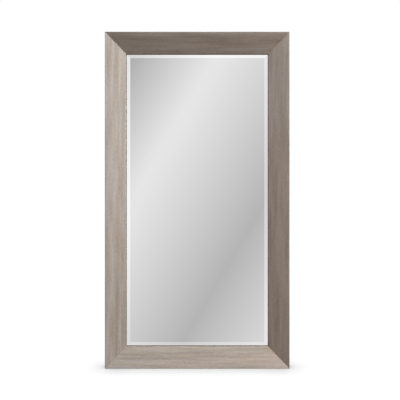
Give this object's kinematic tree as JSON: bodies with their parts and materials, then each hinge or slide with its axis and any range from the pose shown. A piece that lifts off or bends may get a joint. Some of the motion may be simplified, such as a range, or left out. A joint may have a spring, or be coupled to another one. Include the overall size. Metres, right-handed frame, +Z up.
{
  "type": "beveled mirror",
  "caption": "Tall bevelled mirror in a wide mitred wood frame whose face slopes in to the glass, to stand on the floor or hang from D rings on its back.",
  "frame": {"origin": "on the floor, under the middle of the bounding box", "axes": "+Z up along the frame's height, -Y out of the glass toward the viewer, +X to the viewer's right"},
  "size_m": [0.91, 0.0677, 1.66],
  "materials": {
    "frame_wood": "warm grey-taupe oak veneer with a matt lacquer",
    "plywood": "raw plywood",
    "mirror": "silvered plate glass with a polished bevel",
    "foam_tape": "black closed-cell glazing tape",
    "block_rubber": "black rubber",
    "foam_sheet": "white foam sheet",
    "fibreboard": "raw brown fibreboard",
    "zinc_steel": "zinc-plated steel",
    "screw_steel": "yellow zinc-plated steel",
    "bumper_rubber": "black rubber"
  },
  "bodies": {
    "mirror": {"bottom_rail": "frame_wood", "left_stile": "frame_wood", "top_rail": "frame_wood", "right_stile": "frame_wood", "corner_spline_bottom_left": "plywood", "corner_spline_top_left": "plywood", "corner_spline_top_right": "plywood", "corner_spline_bottom_right": "plywood", "corner_brace_bottom_left": "zinc_steel", "corner_brace_top_left": "zinc_steel", "corner_brace_top_right": "zinc_steel", "corner_brace_bottom_right": "zinc_steel", "brace_screws": "screw_steel", "mirror_glass": "mirror", "glazing_tape": "foam_tape", "setting_blocks": "block_rubber", "edge_spacers": "block_rubber", "backing_sheet": "foam_sheet", "back_panel": "fibreboard", "panel_screws": "screw_steel", "hanger_plate_left": "zinc_steel", "hanger_screws_left": "screw_steel", "hanger_plate_right": "zinc_steel", "hanger_screws_right": "screw_steel", "wall_bumper_bottom_left": "bumper_rubber", "wall_bumper_bottom_right": "bumper_rubber", "wall_bumper_top_left": "bumper_rubber", "wall_bumper_top_right": "bumper_rubber", "bumper_screws": "screw_steel"},
    "ring_left": {"hanger_ring_left": "zinc_steel"},
    "ring_right": {"hanger_ring_right": "zinc_steel"}
  },
  "joints": [
    {"name": "ring_left_swing", "type": "hinge", "parent": "mirror", "child": "ring_left", "pos_m": [-0.417, 0.02935, 1.33], "axis": [1, 0, 0], "range_deg": [0, 180]},
    {"name": "ring_right_swing", "type": "hinge", "parent": "mirror", "child": "ring_right", "pos_m": [0.417, 0.02935, 1.33], "axis": [1, 0, 0], "range_deg": [0, 180]}
  ]
}
